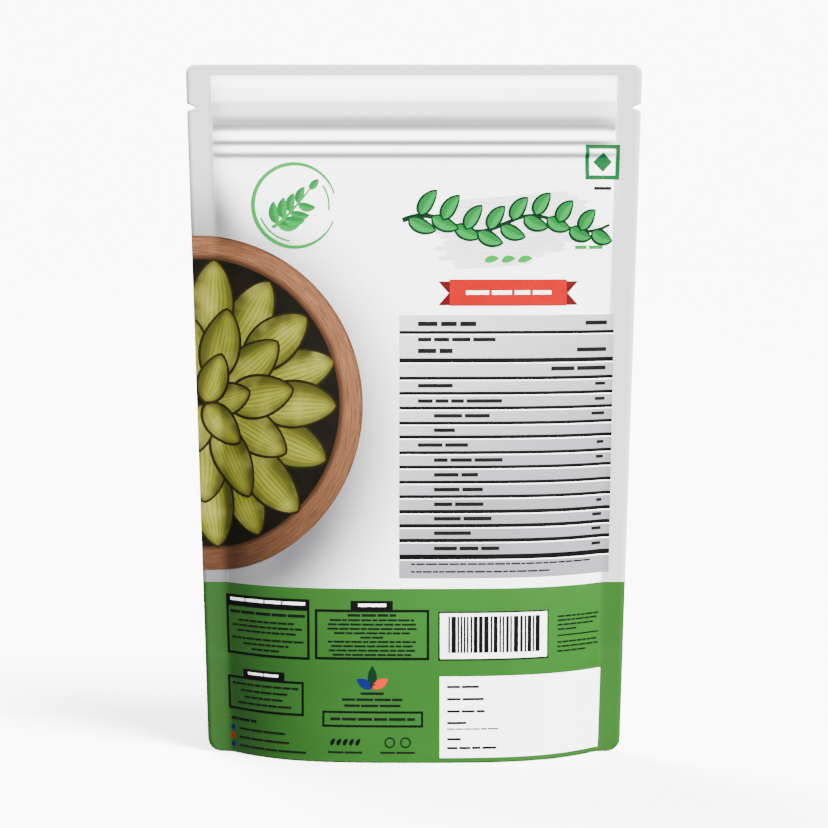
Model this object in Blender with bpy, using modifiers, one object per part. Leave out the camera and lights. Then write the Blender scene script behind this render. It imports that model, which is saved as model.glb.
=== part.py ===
"""Stand-up zip pouch, filled with green cardamom pods, heat-sealed and standing on its opened base.

Metres, +Z up. The origin is on the floor under the middle of the base. The printed face that
carries the information table looks along -Y. Two film panels are sealed together along their
sides and top, a folded gusset film opens to make the base, and a press-to-close zip strip is
welded inside each panel. Touching layers stay a hair apart, as separate closed solids.
"""

import math
import random

import bmesh
import bpy
import numpy as np
from mathutils import Euler, Matrix

# Driving dimensions
POUCH_WIDTH = 0.150
POUCH_HEIGHT = 0.228
SIDE_SEAL = 0.008
FILM = 0.0004
GAP = 0.0003
BASE_PULL_IN = 0.00635
TRIM = 0.0015

# Inside half depth of the pouch on its centreline, by height above the floor
BODY_PROFILE = [
    (-0.002, 0.0201), (0.000, 0.0200), (0.030, 0.0182), (0.060, 0.0166), (0.100, 0.0133),
    (0.140, 0.0088), (0.170, 0.0052), (0.190, 0.0030),
]
ZIP_RIDGES = [
    (0.1973, 0.0019), (0.1989, 0.0025), (0.2015, 0.0019), (0.2032, 0.0026), (0.2074, 0.0009),
]
HEADER_PROFILE = [(0.2118, 0.0019), (0.2160, 0.0018), (0.2200, 0.0011), (0.2244, 0.0), (0.2300, 0.0)]
DEPTH_PROFILE = BODY_PROFILE + ZIP_RIDGES + HEADER_PROFILE

# Cross-section: a slight crown, and how square the rest is (high is flat with steep sides)
CROWN = 0.12
BODY_SQUARENESS = 3.9
HEADER_SQUARENESS = 24.0
SQUARENESS_FROM = 0.165
SQUARENESS_TO = 0.196

# Corners and tear notches of the die-cut outline
TOP_CORNER_RADIUS = 0.0030
BASE_CORNER_RADIUS = 0.0045
NOTCH_HEIGHT = 0.2140
NOTCH_HALF_MOUTH = 0.0012
NOTCH_DEPTH = 0.0026
NOTCH_TIP_RADIUS = 0.0004

# Base gusset: its fold at the side seals, and its seam with the panels at the middle
GUSSET_FOLD = 0.030
SEAM_AT_MIDDLE = 0.004
SEAM_CURVE = 3.0
ARCH_AT_MIDDLE = 0.0026
PLY_STEP_FROM = 0.031
PLY_STEP_TO = 0.035

# Press-to-close zip
ZIP_HEIGHT = 0.2009
ZIP_HALF_LENGTH = 0.061

# Cardamom pods
POD_LENGTH = 0.0175
POD_WIDTH = 0.0082
POD_SIDES = 6
POD_RINGS = 6
POD_LOBES = 3
POD_LOBE_DEPTH = 0.07
FILL_TOP = 0.094
FILL_HEAP = 0.008
CORE_INSET = 0.0036
POD_CLEARANCE = 0.0007
FILL_SEED = 7

# Mesh fineness
COLUMNS_PER_HALF = 11
BODY_ROW = 0.0145
SEAL_COLUMNS = 2
ARCH_STEPS = 10
FLANGE_STEPS = 3

FILM_COLOUR = (0.90, 0.90, 0.89)
BASE_FILM_COLOUR = (0.115, 0.33, 0.062)
ZIP_COLOUR = (0.86, 0.87, 0.86)
POD_COLOUR = (0.36, 0.38, 0.11)


def clear_scene():
    for obj in list(bpy.data.objects):
        bpy.data.objects.remove(obj)


def new_collection(name):
    collection = bpy.data.collections.new(name)
    bpy.context.scene.collection.children.link(collection)
    return collection


def make_material(name, colour, roughness):
    material = bpy.data.materials.new(name)
    material.use_nodes = True
    shader = material.node_tree.nodes["Principled BSDF"]
    shader.inputs["Base Color"].default_value = (*colour, 1.0)
    shader.inputs["Roughness"].default_value = roughness
    shader.inputs["Metallic"].default_value = 0.0
    return material


def smooth_step(low, high, value):
    share = min(1.0, max(0.0, (value - low) / (high - low)))
    return share * share * (3 - 2 * share)


def smooth_curve(points, at):
    """A cubic through the points whose slope at each is that of its two neighbours, flat at a peak."""
    xs = [p[0] for p in points]
    ys = [p[1] for p in points]
    at = min(max(at, xs[0]), xs[-1])
    i = min(max(int(np.searchsorted(xs, at, side="right")) - 1, 0), len(xs) - 2)

    def slope(k):
        if k == 0 or k == len(xs) - 1:
            return 0.0
        before = (ys[k] - ys[k - 1]) / (xs[k] - xs[k - 1])
        after = (ys[k + 1] - ys[k]) / (xs[k + 1] - xs[k])
        return 0.0 if before * after <= 0 else 2 * before * after / (before + after)

    span = xs[i + 1] - xs[i]
    u = (at - xs[i]) / span
    return (
        (2 * u**3 - 3 * u**2 + 1) * ys[i]
        + (u**3 - 2 * u**2 + u) * span * slope(i)
        + (-2 * u**3 + 3 * u**2) * ys[i + 1]
        + (u**3 - u**2) * span * slope(i + 1)
    )


def edge_x(height):
    """Half width of the pouch: its sides lean in towards the base, which the opened gusset draws in."""
    return POUCH_WIDTH / 2 - BASE_PULL_IN * (1 - height / POUCH_HEIGHT)


def ply_room(height, share):
    """Half gap between the panels in the side seals, wider low down where the gusset lies between."""
    low_down = 1 - smooth_step(PLY_STEP_FROM, PLY_STEP_TO, height)
    return GAP / 2 + (FILM + GAP) * low_down * share**8


def squareness(height):
    share = smooth_step(SQUARENESS_FROM, SQUARENESS_TO, height)
    return BODY_SQUARENESS + (HEADER_SQUARENESS - BODY_SQUARENESS) * share


def inside_depth(x, height):
    """Distance of a panel's inner face from the pouch's middle plane."""
    chord = edge_x(height) - SIDE_SEAL
    share = min(1.0, abs(x) / chord)
    drop = CROWN * share**2 + (1 - CROWN) * share ** squareness(height)
    bulge = smooth_curve(DEPTH_PROFILE, height) * (1 - drop)
    return ply_room(height, share) + bulge


def column_shares():
    """Shares of the chord for the mesh's columns, closer together towards the seals."""
    half = [math.sin(math.pi / 2 * i / COLUMNS_PER_HALF) for i in range(COLUMNS_PER_HALF + 1)]
    return [-s for s in half[:0:-1]] + half


def column_x(height):
    """x of each column at this height, from past the left edge to past the right edge."""
    chord = edge_x(height) - SIDE_SEAL
    reach = SIDE_SEAL + TRIM
    seal = [chord + reach * (k + 1) / SEAL_COLUMNS for k in range(SEAL_COLUMNS)]
    return [-x for x in seal[::-1]] + [chord * s for s in column_shares()] + seal


def row_heights():
    """Heights of a panel's rows: even over the body, and three to each rise and fall above it."""
    body_top = BODY_PROFILE[-1][0]
    body = list(np.arange(-TRIM, body_top - BODY_ROW / 2, BODY_ROW))
    marks = [body_top] + [p[0] for p in ZIP_RIDGES + HEADER_PROFILE[:-1]]
    between = [a + (b - a) * k / 3 for a, b in zip(marks, marks[1:]) for k in (1, 2)]
    return body + sorted(marks + between) + [POUCH_HEIGHT + TRIM]


def grid_object(name, columns, rows, collection):
    """A Blender grid of columns by rows points, and its vertices by (column, row)."""
    bpy.ops.mesh.primitive_grid_add(x_subdivisions=columns - 1, y_subdivisions=rows - 1, size=2)
    obj = bpy.context.active_object
    obj.name = obj.data.name = name
    for owner in list(obj.users_collection):
        owner.objects.unlink(obj)
    collection.objects.link(obj)
    places = {}
    for vertex in obj.data.vertices:
        i = round((vertex.co.x + 1) / 2 * (columns - 1))
        j = round((vertex.co.y + 1) / 2 * (rows - 1))
        places[vertex.index] = (i, j)
    return obj, places


def solidify(obj, offset):
    modifier = obj.modifiers.new("film", "SOLIDIFY")
    modifier.thickness = FILM
    modifier.offset = offset
    modifier.use_even_offset = True


def cut_to_outline(obj, die):
    modifier = obj.modifiers.new("die_cut", "BOOLEAN")
    modifier.operation = "INTERSECT"
    modifier.solver = "EXACT"
    modifier.object = die


def finish(obj, material):
    obj.data.materials.clear()
    obj.data.materials.append(material)
    obj.data.shade_smooth()
    obj.data.set_sharp_from_angle(angle=math.radians(40))


def arc(centre, radius, start, end, steps):
    """Points (x, z) on an arc, angles in degrees."""
    angles = [math.radians(start + (end - start) * k / steps) for k in range(steps + 1)]
    return [(centre[0] + radius * math.cos(a), centre[1] + radius * math.sin(a)) for a in angles]


def half_outline():
    """Right half of the die-cut outline, from the base up to the top edge."""
    r = BASE_CORNER_RADIUS
    points = arc((edge_x(r) - r, r), r, -90, 0, 6)
    mouth = NOTCH_HALF_MOUTH
    tip_x = edge_x(NOTCH_HEIGHT) - NOTCH_DEPTH
    points.append((edge_x(NOTCH_HEIGHT - mouth), NOTCH_HEIGHT - mouth))
    points += arc((tip_x + NOTCH_TIP_RADIUS, NOTCH_HEIGHT), NOTCH_TIP_RADIUS, -110, -250, 4)
    points.append((edge_x(NOTCH_HEIGHT + mouth), NOTCH_HEIGHT + mouth))
    r = TOP_CORNER_RADIUS
    top = POUCH_HEIGHT
    points += arc((edge_x(top - r) - r, top - r), r, 0, 90, 6)
    return points


def make_die(collection):
    """The cutting die: the pouch's outline as a block right through both panels."""
    right = half_outline()
    outline = right + [(-x, z) for x, z in right[::-1]]
    reach = 0.04
    mesh = bmesh.new()
    face = mesh.faces.new([mesh.verts.new((x, -reach, z)) for x, z in outline])
    grown = bmesh.ops.extrude_face_region(mesh, geom=[face])
    moved = [v for v in grown["geom"] if isinstance(v, bmesh.types.BMVert)]
    bmesh.ops.translate(mesh, verts=moved, vec=(0, 2 * reach, 0))
    bmesh.ops.recalc_face_normals(mesh, faces=mesh.faces)
    data = bpy.data.meshes.new("cutting_die")
    mesh.to_mesh(data)
    mesh.free()
    die = bpy.data.objects.new("cutting_die", data)
    collection.objects.link(die)
    die.hide_render = True
    die.display_type = "WIRE"
    return die


def make_panel(name, side, die, material, collection):
    """One face of the pouch: side is -1 for the face along -Y and 1 for the other."""
    heights = row_heights()
    columns = len(column_x(0))
    panel, places = grid_object(name, columns, len(heights), collection)
    for vertex in panel.data.vertices:
        i, j = places[vertex.index]
        height = heights[j]
        x = column_x(height)[i]
        vertex.co = (x, side * inside_depth(x, height), height)
    if side > 0:
        panel.data.flip_normals()
    solidify(panel, offset=1)
    cut_to_outline(panel, die)
    finish(panel, material)
    return panel


def seam_height(x):
    """Height of the curved seam where the gusset leaves the panels: low in the middle, high at the sides."""
    chord = edge_x(0) - SIDE_SEAL
    share = min(1.0, abs(x) / chord)
    return SEAM_AT_MIDDLE + (GUSSET_FOLD - SEAM_AT_MIDDLE) * share**SEAM_CURVE


def gusset_half_depth(x, height):
    """Distance of the gusset film's own middle from the pouch's middle plane."""
    return inside_depth(x, height) - GAP - FILM / 2


def arch_rise(x):
    """How far the gusset rises from its seam to its fold: a shallow arch, or a tight bend in the seals."""
    chord = edge_x(0) - SIDE_SEAL
    share = min(1.0, abs(x) / chord)
    return ARCH_AT_MIDDLE + (gusset_half_depth(x, seam_height(x)) - ARCH_AT_MIDDLE) * share**4


def gusset_section(column):
    """Points of the gusset film along one column, from the foot of its front flange to the back's."""
    x = column_x(0)[column]
    top = seam_height(x)
    front = []
    for k in range(FLANGE_STEPS):
        z = -TRIM + (top + TRIM) * k / FLANGE_STEPS
        at = column_x(z)[column]
        front.append((at, -gusset_half_depth(at, z), z))
    half = gusset_half_depth(column_x(top)[column], top)
    rise = arch_rise(x)
    arch = []
    for k in range(ARCH_STEPS + 1):
        turn = math.pi * k / ARCH_STEPS
        z = top + rise * math.sin(turn)
        arch.append((column_x(z)[column], -half * math.cos(turn), z))
    return front + arch + [(at, -y, z) for at, y, z in front[::-1]]


def make_gusset(die, material, collection):
    columns = len(column_x(0))
    sections = [gusset_section(i) for i in range(columns)]
    gusset, places = grid_object("base_gusset", columns, len(sections[0]), collection)
    for vertex in gusset.data.vertices:
        i, j = places[vertex.index]
        vertex.co = sections[i][j]
    solidify(gusset, offset=0)
    cut_to_outline(gusset, die)
    finish(gusset, material)
    return gusset


def make_zip_strip(name, outline, material, collection):
    """A zip profile: its outline is in millimetres, as (depth, height) about the middle of the zip."""
    curve = bpy.data.curves.new(name, "CURVE")
    curve.dimensions = "2D"
    curve.fill_mode = "BOTH"
    curve.extrude = ZIP_HALF_LENGTH
    spline = curve.splines.new("POLY")
    spline.points.add(len(outline) - 1)
    for point, (depth, height) in zip(spline.points, outline):
        point.co = (depth * 0.001, height * 0.001, 0, 1)
    spline.use_cyclic_u = True
    strip = bpy.data.objects.new(name, curve)
    strip.location = (0, 0, ZIP_HEIGHT)
    strip.rotation_euler = (math.pi / 2, 0, math.pi / 2)
    curve.materials.append(material)
    collection.objects.link(strip)
    return strip


def groove_outline():
    """Flange with a slotted channel whose lips close over the rib's head."""
    return [
        (-1.3, -4.1), (-1.3, 3.7), (-0.9, 3.7), (-0.9, 1.5), (0.6, 1.5), (0.6, 0.5), (0.1, 0.5),
        (0.1, 1.0), (-0.9, 1.0), (-0.9, -1.0), (0.1, -1.0), (0.1, -0.5), (0.6, -0.5), (0.6, -1.5),
        (-0.9, -1.5), (-0.9, -4.1),
    ]


def rib_outline():
    """Flange with a stem and a head wider than the groove's mouth."""
    return [
        (1.3, -4.1), (1.3, 3.7), (0.9, 3.7), (0.9, 0.2), (-0.2, 0.2), (-0.2, 0.7), (-0.6, 0.7),
        (-0.6, -0.7), (-0.2, -0.7), (-0.2, -0.2), (0.9, -0.2), (0.9, -4.1),
    ]


def pod_radius(share, angle):
    """Radius of a pod at this share of its length: a plump spindle with three rounded corners."""
    spindle = math.sin(math.pi * share) ** 0.75 * (1 + 0.18 * math.cos(math.pi * share))
    return POD_WIDTH / 2 * spindle * (1 + POD_LOBE_DEPTH * math.cos(POD_LOBES * angle))


def make_pod(matrix, length, collection):
    mesh = bmesh.new()
    bmesh.ops.create_uvsphere(mesh, u_segments=POD_SIDES, v_segments=POD_RINGS, radius=1)
    for vertex in mesh.verts:
        share = math.acos(min(1.0, max(-1.0, vertex.co.z))) / math.pi
        angle = math.atan2(vertex.co.y, vertex.co.x)
        radius = pod_radius(share, angle) if 0.01 < share < 0.99 else 0.0
        along = length * (0.5 - share)
        vertex.co = (radius * math.cos(angle), radius * math.sin(angle), along)
    data = bpy.data.meshes.new("pod")
    mesh.to_mesh(data)
    mesh.free()
    pod = bpy.data.objects.new("pod", data)
    pod.matrix_world = matrix
    collection.objects.link(pod)


def heap_height(x, share):
    """Top of the fill's core: heaped in the middle, lower at the walls."""
    across = x / (edge_x(FILL_TOP) - SIDE_SEAL)
    return FILL_TOP - POD_WIDTH * 0.35 + FILL_HEAP * (1 - across**2) * (1 - 0.4 * share**2)


def fill_floor(x, share):
    """Underside of the fill's core, just above the gusset's arch."""
    arch = arch_rise(x) * math.sqrt(max(0.0, 1 - share**2))
    return seam_height(x) + arch + FILM / 2 + CORE_INSET / 2


def make_fill_core(collection):
    """The packed middle of the fill, as a cube drawn out between the gusset, the panels and the heap."""
    mesh = bmesh.new()
    bmesh.ops.create_cube(mesh, size=2)
    along = [e for e in mesh.edges if abs(e.verts[0].co.x - e.verts[1].co.x) > 1]
    bmesh.ops.subdivide_edges(mesh, edges=along, cuts=13, use_grid_fill=True)
    across = [e for e in mesh.edges if abs(e.verts[0].co.y - e.verts[1].co.y) > 1]
    bmesh.ops.subdivide_edges(mesh, edges=across, cuts=5, use_grid_fill=True)
    upright = [e for e in mesh.edges if abs(e.verts[0].co.z - e.verts[1].co.z) > 1]
    bmesh.ops.subdivide_edges(mesh, edges=upright, cuts=5, use_grid_fill=True)
    reach = 0.90 * (edge_x(0) - SIDE_SEAL)
    for vertex in mesh.verts:
        x = reach * vertex.co.x
        low = fill_floor(x, vertex.co.y)
        z = low + (heap_height(x, vertex.co.y) - low) * (vertex.co.z + 1) / 2
        wall = inside_depth(x, z) - CORE_INSET
        vertex.co = (x, vertex.co.y * wall, z)
    bmesh.ops.recalc_face_normals(mesh, faces=mesh.faces)
    data = bpy.data.meshes.new("cardamom_fill")
    mesh.to_mesh(data)
    mesh.free()
    core = bpy.data.objects.new("cardamom_fill", data)
    collection.objects.link(core)
    return core


def top_pods(draw):
    """Matrices of the pods that lie on the heap, in staggered rows with a random turn."""
    rows = 3
    for row in range(rows):
        share = (row - (rows - 1) / 2) * 0.58
        count = 9 - row % 2
        for k in range(count):
            x = (k - (count - 1) / 2) * 0.0118 + draw.uniform(-0.0015, 0.0015)
            z = heap_height(x, share) - POD_WIDTH * 0.02
            wall = inside_depth(x, z) - POD_LENGTH * 0.52
            y = share * max(0.0, wall) * 1.1
            tilt = Euler((math.pi / 2 + draw.uniform(-0.25, 0.25), 0, draw.uniform(-1.1, 1.1)))
            yield Matrix.Translation((x, y, z)) @ tilt.to_matrix().to_4x4()


def wall_pods(side, draw):
    """Matrices of the pods that lie along the inside of one panel."""
    rows = [(0.018, 4), (0.033, 6), (0.048, 7), (0.063, 6), (0.078, 7)]
    for row, (height, count) in enumerate(rows):
        for k in range(count):
            x = (k - (count - 1) / 2 + 0.25 * (row % 2)) * 0.0155 + draw.uniform(-0.0015, 0.0015)
            lean = draw.uniform(-0.7, 0.7)
            reach = POD_LENGTH / 2
            height = max(height, seam_height(abs(x) + POD_WIDTH / 2) + reach)
            ends = [(x + reach * math.sin(a), height + reach * math.cos(a)) for a in (lean, lean + math.pi)]
            depth = min(inside_depth(ex, ez) for ex, ez in ends + [(x, height)])
            y = side * (depth - POD_CLEARANCE - POD_WIDTH / 2 * (1 + POD_LOBE_DEPTH) - 0.0004)
            turn = Matrix.Rotation(lean, 4, "Y")
            yield Matrix.Translation((x, y, height)) @ turn


def keep_outer_skin(data):
    """Drops every shell but the widest: the pockets shut in between pods."""
    mesh = bmesh.new()
    mesh.from_mesh(data)
    unseen = set(mesh.faces)
    shells = []
    while unseen:
        shell = []
        front = [unseen.pop()]
        while front:
            face = front.pop()
            shell.append(face)
            for edge in face.edges:
                for neighbour in edge.link_faces:
                    if neighbour in unseen:
                        unseen.remove(neighbour)
                        front.append(neighbour)
        shells.append(shell)
    shells.sort(key=len)
    inner = [face for shell in shells[:-1] for face in shell]
    bmesh.ops.delete(mesh, geom=inner, context="FACES")
    mesh.to_mesh(data)
    mesh.free()


def press_against_film(data):
    """Flattens whatever would stand out past the inside of a panel or of the gusset."""
    for vertex in data.vertices:
        x, y, z = vertex.co
        limit = inside_depth(x, z) - POD_CLEARANCE
        y = max(-limit, min(limit, y))
        half = gusset_half_depth(x, seam_height(x))
        share = min(1.0, abs(y) / half)
        floor = seam_height(x) + arch_rise(x) * math.sqrt(1 - share**2) + FILM / 2 + POD_CLEARANCE
        vertex.co = (x, y, max(z, floor))


def split_faces(data):
    """Splits every face into its best triangles, whichever corner the union starts the face at."""
    mesh = bmesh.new()
    mesh.from_mesh(data)
    bmesh.ops.triangulate(mesh, faces=mesh.faces, quad_method="BEAUTY", ngon_method="BEAUTY")
    mesh.to_mesh(data)
    mesh.free()


def make_fill(material, collection):
    """Pods fused into the core of the fill by one union, which is then applied."""
    draw = random.Random(FILL_SEED)
    core = make_fill_core(collection)
    pods = new_collection("pods")
    for matrix in [*top_pods(draw), *wall_pods(-1, draw), *wall_pods(1, draw)]:
        make_pod(matrix, POD_LENGTH * draw.uniform(0.88, 1.05), pods)
    union = core.modifiers.new("pods", "BOOLEAN")
    union.operation = "UNION"
    union.solver = "EXACT"
    union.operand_type = "COLLECTION"
    union.collection = pods
    bpy.context.view_layer.update()
    graph = bpy.context.evaluated_depsgraph_get()
    fused = bpy.data.meshes.new_from_object(core.evaluated_get(graph))
    core.modifiers.clear()
    keep_outer_skin(fused)
    press_against_film(fused)
    split_faces(fused)
    core.data = fused
    for pod in list(pods.objects):
        bpy.data.objects.remove(pod)
    bpy.data.collections.remove(pods)
    finish(core, material)
    return core


def main():
    clear_scene()
    pouch = new_collection("stand_up_pouch")
    cutters = new_collection("cutters")
    film = make_material("printed_film", FILM_COLOUR, 0.38)
    base_film = make_material("base_film", BASE_FILM_COLOUR, 0.38)
    zip_plastic = make_material("zip_plastic", ZIP_COLOUR, 0.45)
    pod_skin = make_material("pod_skin", POD_COLOUR, 0.75)
    die = make_die(cutters)
    make_panel("front_panel", -1, die, film, pouch)
    make_panel("back_panel", 1, die, film, pouch)
    make_gusset(die, base_film, pouch)
    make_zip_strip("zip_groove", groove_outline(), zip_plastic, pouch)
    make_zip_strip("zip_rib", rib_outline(), zip_plastic, pouch)
    make_fill(pod_skin, pouch)


main()
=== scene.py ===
"""Looks for the stand-up zip pouch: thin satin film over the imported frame, and generic print on it.

Film and print are in millimetres: s runs across the flat film from its middle, t up from its base.
film_point turns them into metres in the frame's own axes. Floor, lights and camera are in metres.
"""

import math
import random

import bpy
import numpy as np
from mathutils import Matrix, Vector


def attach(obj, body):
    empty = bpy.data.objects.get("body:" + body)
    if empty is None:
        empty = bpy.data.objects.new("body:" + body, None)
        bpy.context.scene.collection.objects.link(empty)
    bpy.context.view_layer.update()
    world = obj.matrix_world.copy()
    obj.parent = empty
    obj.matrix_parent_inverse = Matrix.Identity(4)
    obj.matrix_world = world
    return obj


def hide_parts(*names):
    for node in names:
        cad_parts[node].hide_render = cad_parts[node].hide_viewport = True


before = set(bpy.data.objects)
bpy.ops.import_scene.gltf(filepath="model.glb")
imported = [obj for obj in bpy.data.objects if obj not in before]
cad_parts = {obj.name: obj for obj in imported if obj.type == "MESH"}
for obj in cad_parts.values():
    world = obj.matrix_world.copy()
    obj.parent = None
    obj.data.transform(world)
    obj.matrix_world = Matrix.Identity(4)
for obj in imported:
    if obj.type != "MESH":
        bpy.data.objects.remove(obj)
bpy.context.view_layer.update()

MM = 0.001
UV_PER_MM = 0.01

# The pouch's shape, as packed
WIDTH, HEIGHT, SEAL = 150.0, 228.0, 8.0
BASE_PULL_IN = 6.35
TOP_SEAL_FROM = 224.4
PROFILE = [
    (-2.0, 20.1), (0.0, 20.0), (30.0, 18.2), (60.0, 16.6), (100.0, 13.3), (140.0, 8.8), (170.0, 5.2),
    (190.0, 3.0), (197.3, 1.9), (198.9, 2.5), (201.5, 1.9), (203.2, 2.6), (207.4, 0.9), (211.8, 1.9),
    (216.0, 1.8), (220.0, 1.1), (224.4, 0.0), (230.0, 0.0),
]
# Across the body the depth falls by CROWN of a parabola, and by the rest of a steeper power
CROWN = 0.12
BODY_POWER, HEADER_POWER = 3.9, 24.0
HEADER_FROM, HEADER_TO = 165, 196
SKIN = 0.35
TOP_CORNER, BASE_CORNER = 3.0, 4.5
NOTCH_T, NOTCH_HALF_MOUTH, NOTCH_DEPTH = 214.0, 1.2, 2.6
FILM = 0.15
SEAL_BEND = 0.8
SEAL_HALF = 0.20
BASE_SEAL_HALF = 0.40
BASE_SEAL_FROM, BASE_SEAL_TO = 31, 35
GUSSET_FOLD, SEAM_AT_MIDDLE, SEAM_CURVE, ARCH_AT_MIDDLE = 30.0, 4.0, 3.0, 2.6
GUSSET_INSET = FILM * 1.5 + 0.03
FLAT_BODY = WIDTH / 2 - SEAL
FRONT, BACK = -1, 1


def ease(low, high, value):
    share = np.clip((value - low) / (high - low), 0.0, 1.0)
    return share * share * (3 - 2 * share)


def make_profile():
    xs, ys = (np.array(column, float) for column in zip(*PROFILE))
    slopes = np.zeros(len(xs))
    rise = np.diff(ys) / np.diff(xs)
    for k in range(1, len(xs) - 1):
        if rise[k - 1] * rise[k] > 0:
            slopes[k] = 2 * rise[k - 1] * rise[k] / (rise[k - 1] + rise[k])
    return xs, ys, slopes


PROFILE_XS, PROFILE_YS, PROFILE_SLOPES = make_profile()


def half_depth(t):
    """Inside half depth on the centreline, by height."""
    t = np.clip(t, PROFILE_XS[0], PROFILE_XS[-1])
    i = np.clip(np.searchsorted(PROFILE_XS, t, side="right") - 1, 0, len(PROFILE_XS) - 2)
    span = PROFILE_XS[i + 1] - PROFILE_XS[i]
    u = (t - PROFILE_XS[i]) / span
    return (
        (2 * u**3 - 3 * u**2 + 1) * PROFILE_YS[i]
        + (u**3 - 2 * u**2 + u) * span * PROFILE_SLOPES[i]
        + (-2 * u**3 + 3 * u**2) * PROFILE_YS[i + 1]
        + (u**3 - u**2) * span * PROFILE_SLOPES[i + 1]
    )


def edge_x(t):
    return WIDTH / 2 - BASE_PULL_IN * (1 - t / HEIGHT)


def outline_x(t):
    """Half width of the die-cut outline: rounded corners and a tear notch on each side."""
    t = np.asarray(t, float)
    half = edge_x(t)
    up = np.clip(t - (HEIGHT - TOP_CORNER), 0, TOP_CORNER)
    half = half - (TOP_CORNER - np.sqrt(TOP_CORNER**2 - up**2))
    down = np.clip(BASE_CORNER - t, 0, BASE_CORNER)
    half = half - (BASE_CORNER - np.sqrt(BASE_CORNER**2 - down**2))
    mouth = np.clip(1 - np.abs(t - NOTCH_T) / NOTCH_HALF_MOUTH, 0, 1)
    return half - NOTCH_DEPTH * np.minimum(1, 1.25 * mouth)


def film_depth(x, t):
    """Distance of the film's outer face from the pouch's middle plane, with a soft bend at the side seal."""
    chord = edge_x(t) - SEAL
    share = np.abs(x) / chord
    inside = half_depth(t)
    bulge = inside + SKIN * np.minimum(1, inside)
    square = BODY_POWER + (HEADER_POWER - BODY_POWER) * ease(HEADER_FROM, HEADER_TO, t)
    body = bulge * (1 - CROWN * share**2 - (1 - CROWN) * share**square)
    slope_at_seal = bulge / chord * (2 * CROWN + (1 - CROWN) * square)
    thicker = (BASE_SEAL_HALF - SEAL_HALF) * (1 - ease(BASE_SEAL_FROM, BASE_SEAL_TO, t))
    seal = SEAL_HALF + thicker * np.minimum(1, share) ** 8
    return seal + (body + np.sqrt(body**2 + (SEAL_BEND * slope_at_seal) ** 2)) / 2


# Arc length across the body, so that print keeps its flat size: x for (height, flat share)
FLAT_T = np.linspace(0, HEIGHT, 457)
FLAT_U = np.linspace(0, 1, 241)


def make_flat_table():
    rows = []
    for t in FLAT_T:
        x = np.linspace(0, 1, 601) * (edge_x(t) - SEAL)
        y = film_depth(x, t)
        along = np.concatenate([[0], np.cumsum(np.hypot(np.diff(x), np.diff(y)))])
        rows.append(np.interp(FLAT_U * along[-1], along, x))
    return np.array(rows)


FLAT_X = make_flat_table()


def flat_to_x(s, t):
    """x of the flat film's point (s, t)."""
    s, t = np.broadcast_arrays(np.asarray(s, float), np.asarray(t, float))
    reach = np.abs(s)
    row = np.clip(t / HEIGHT, 0, 1) * (len(FLAT_T) - 1)
    column = np.clip(reach / FLAT_BODY, 0, 1) * (len(FLAT_U) - 1)
    i = np.minimum(row.astype(int), len(FLAT_T) - 2)
    j = np.minimum(column.astype(int), len(FLAT_U) - 2)
    a, b = row - i, column - j
    body = (
        (1 - a) * ((1 - b) * FLAT_X[i, j] + b * FLAT_X[i, j + 1])
        + a * ((1 - b) * FLAT_X[i + 1, j] + b * FLAT_X[i + 1, j + 1])
    )
    in_seal = np.clip((reach - FLAT_BODY) / SEAL, 0, 1)
    chord = edge_x(t) - SEAL
    return np.sign(s) * np.where(reach > FLAT_BODY, chord + in_seal * (outline_x(t) - chord), body)


def seam_height(share):
    """Height of the curved seam that joins the gusset to a panel."""
    return SEAM_AT_MIDDLE + (GUSSET_FOLD - SEAM_AT_MIDDLE) * share**SEAM_CURVE


def ripple(s, t, side):
    """Slight unevenness of filled film, in millimetres: soft swells, and puckers beside the seals."""
    phase = 0.0 if side == FRONT else 1.9
    above_seam = t - seam_height(np.minimum(1, np.abs(s) / FLAT_BODY))
    inner = ease(0, 9, FLAT_BODY - np.abs(s)) * ease(1, 16, above_seam) * (1 - ease(176, 192, t))
    swell = (
        0.16 * np.sin(s / 17.0 + 1.3 * np.sin(t / 29.0 + phase)) * np.sin(t / 23.0 + 0.7 + phase)
        + 0.10 * np.sin(s / 8.5 - t / 13.0 + 2.1 + phase) * np.sin(t / 41.0 + phase)
    )
    near_seal = np.exp(-((np.abs(s) - 60.0) / 6.0) ** 2)
    pucker = 0.13 * near_seal * np.sin(t / 4.6 + 1.7 * np.sin(t / 21.0) + np.sign(s) + phase)
    return inner * (swell + pucker) - 0.06 * inner


# Print ends just inside the film's edge
EDGE_S = WIDTH / 2 - 0.1


def film_point(s, t, side, lift=0.0):
    """Points on the outer face of one panel, lift millimetres out along its normal."""

    def place(s, t):
        x = flat_to_x(s, t)
        y = side * (film_depth(x, t) + ripple(s, t, side))
        return np.stack([x, y, np.broadcast_to(t, x.shape)], axis=-1)

    s, t = np.broadcast_arrays(np.asarray(s, float), np.asarray(t, float))
    at = place(s, t)
    if lift:
        step = 0.02
        across = place(s + step, t) - place(s - step, t)
        upward = place(s, np.minimum(t + step, HEIGHT)) - place(s, np.maximum(t - step, 0))
        normal = np.cross(across, upward)
        normal *= side * np.sign(normal[..., 1:2]) / np.linalg.norm(normal, axis=-1, keepdims=True)
        at = at + lift * normal
    return at * MM


# Mesh helpers
def link(name, data):
    """A new object, placed in the scene."""
    obj = bpy.data.objects.new(name, data)
    bpy.context.scene.collection.objects.link(obj)
    return obj


def add_object(name, data, replaces=()):
    """A piece of the part, riding on its one body, in place of the nodes that it replaces."""
    obj = link(name, data)
    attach(obj, "root")
    if replaces:
        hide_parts(*replaces)
    return obj


def spread(*runs):
    """Ticks from (start, end, step) runs laid end to end."""
    ticks = []
    for start, end, step in runs:
        count = max(1, round((end - start) / step))
        ticks += [start + (end - start) * k / count for k in range(count)]
    return np.array(ticks + [runs[-1][1]])


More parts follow.
